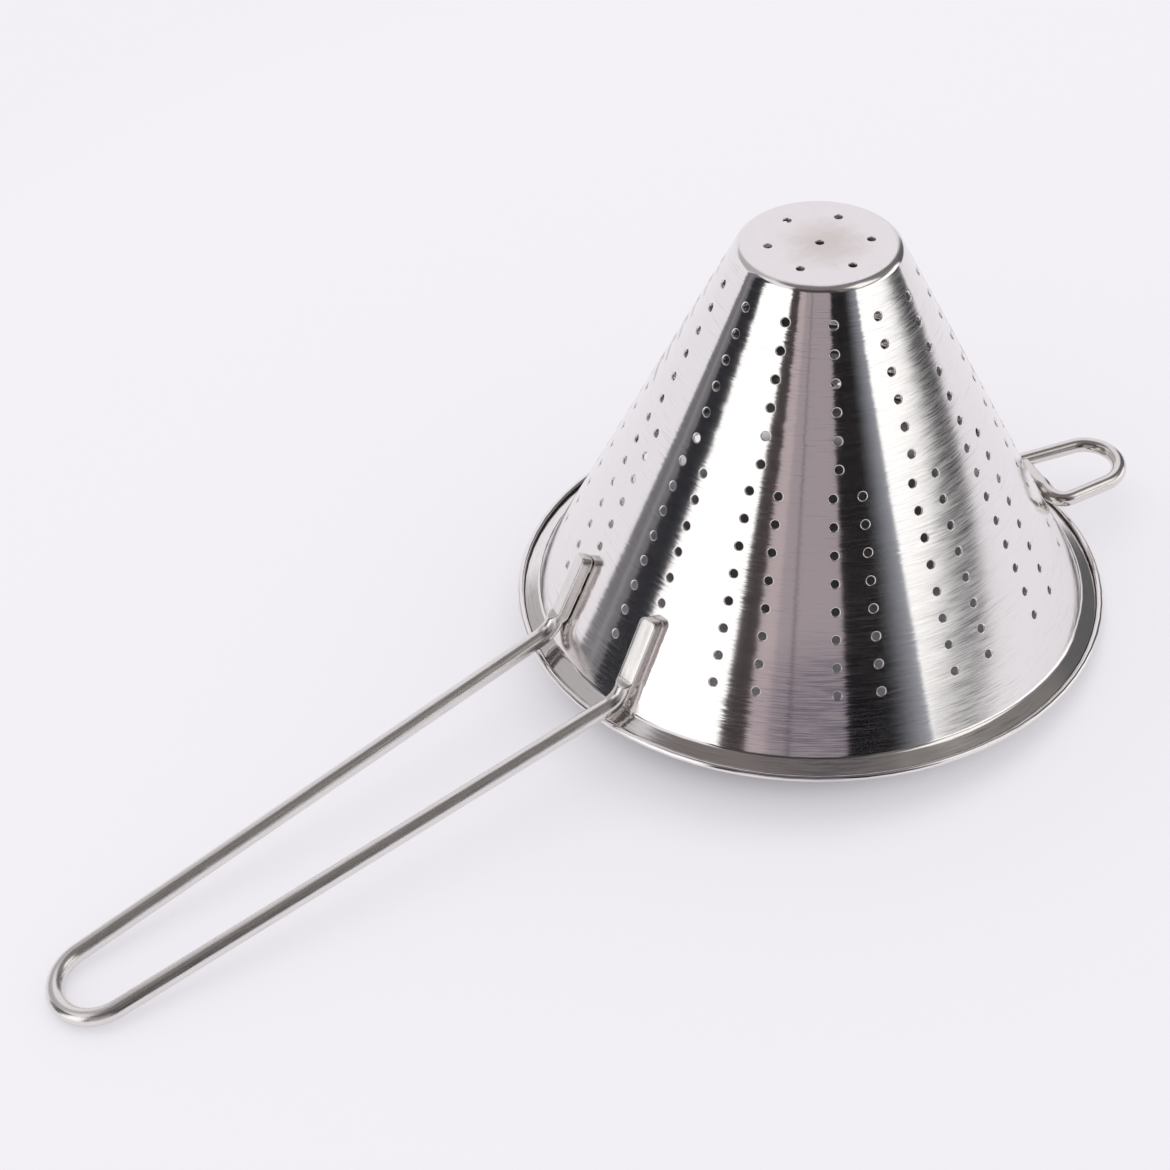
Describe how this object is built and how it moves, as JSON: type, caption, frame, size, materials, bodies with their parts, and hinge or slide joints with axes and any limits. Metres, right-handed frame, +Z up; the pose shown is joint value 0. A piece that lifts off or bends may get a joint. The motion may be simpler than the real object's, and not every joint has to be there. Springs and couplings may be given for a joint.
{
  "type": "conical strainer",
  "caption": "Steel conical strainer resting mouth down, with split columns of holes, a rolled rim, a wire loop handle and a wire rest hook.",
  "frame": {"origin": "on the table under the middle of the strainer's bounding box", "axes": "+Z is up, the handle points along -X and the rest hook along +X; the cone's axis leans by 6.1 degrees from +Z towards +X"},
  "size_m": [0.372, 0.1798, 0.1356],
  "materials": {
    "polished_sheet": "bright stainless sheet with fine scratches round the cone",
    "handle_steel": "drawn stainless wire with fine lines along it",
    "hook_steel": "polished stainless wire"
  },
  "bodies": {
    "root": {"strainer_cone": "polished_sheet", "handle_wire": "handle_steel", "rest_hook": "hook_steel"}
  },
  "joints": []
}
